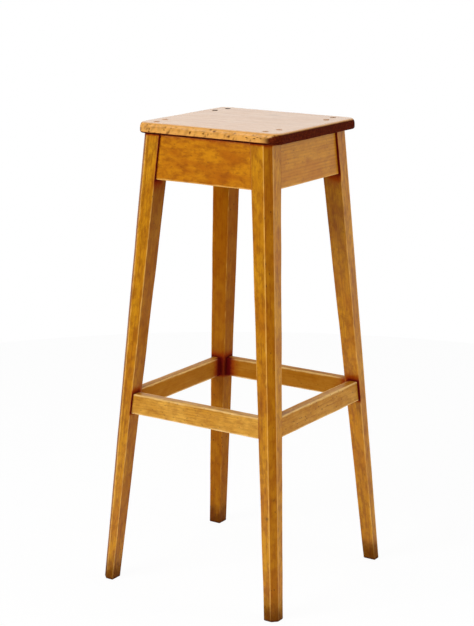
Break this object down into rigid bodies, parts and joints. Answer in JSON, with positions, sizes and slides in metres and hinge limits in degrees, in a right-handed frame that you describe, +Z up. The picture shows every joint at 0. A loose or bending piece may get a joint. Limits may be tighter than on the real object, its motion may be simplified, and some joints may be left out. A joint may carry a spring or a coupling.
{
  "type": "tall wooden stool",
  "caption": "Tall square wooden stool: bullnosed seat on splayed tapered legs, joined by tenoned aprons under the seat and a low ring of stretchers that serves as a footrest.",
  "frame": {"origin": "on the floor, at the centre of the square that the feet span", "axes": "+Z up, +X to the right along the seat's grain, -Y is the front"},
  "size_m": [0.3596, 0.3596, 0.8005],
  "materials": {
    "seat_wood": "satin varnish, worn",
    "leg_wood": "satin varnish, worn",
    "apron_wood": "satin varnish, worn",
    "stretcher_wood": "satin varnish, worn",
    "block_wood": "bare, unfinished",
    "plug_wood": "satin varnish, worn",
    "screw_steel": "dull"
  },
  "bodies": {
    "root": {"apron_back": "apron_wood", "apron_front": "apron_wood", "apron_left": "apron_wood", "apron_right": "apron_wood", "block_screws": "screw_steel", "corner_block_back_left": "block_wood", "corner_block_back_right": "block_wood", "corner_block_front_left": "block_wood", "corner_block_front_right": "block_wood", "leg_back_left": "leg_wood", "leg_back_right": "leg_wood", "leg_front_left": "leg_wood", "leg_front_right": "leg_wood", "seat": "seat_wood", "seat_plugs": "plug_wood", "seat_screws": "screw_steel", "stretcher_back": "stretcher_wood", "stretcher_front": "stretcher_wood", "stretcher_left": "stretcher_wood", "stretcher_right": "stretcher_wood"}
  },
  "joints": []
}
